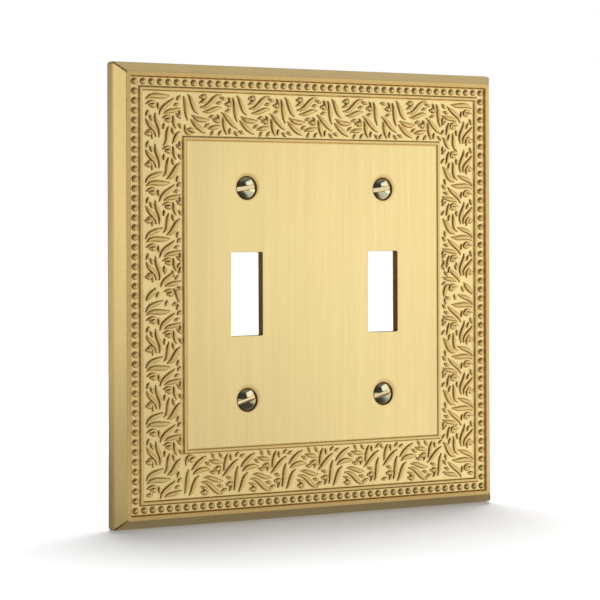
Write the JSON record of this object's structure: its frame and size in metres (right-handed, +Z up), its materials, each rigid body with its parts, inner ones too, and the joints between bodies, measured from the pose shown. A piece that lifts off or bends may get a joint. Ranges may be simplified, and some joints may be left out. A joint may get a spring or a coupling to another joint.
{
  "type": "toggle switch wall plate",
  "caption": "Square cast brass wall plate for toggle switches, with a bevelled edge, a beaded and leaf-carved border, rectangular toggle openings and oval-head slotted cover screws.",
  "frame": {"origin": "middle of the four cover screws, in the plane of the wall", "axes": "+Z up, +X to the right seen from the room, +Y into the wall; the face looks along -Y"},
  "size_m": [0.128, 0.0199, 0.13],
  "materials": {
    "satin_brass": "satin, brushed upright, with dark brown patina in the hollows",
    "polished_brass": "polished"
  },
  "bodies": {
    "root": {"wall_plate": "satin_brass", "cover_screws": "polished_brass"}
  },
  "joints": []
}
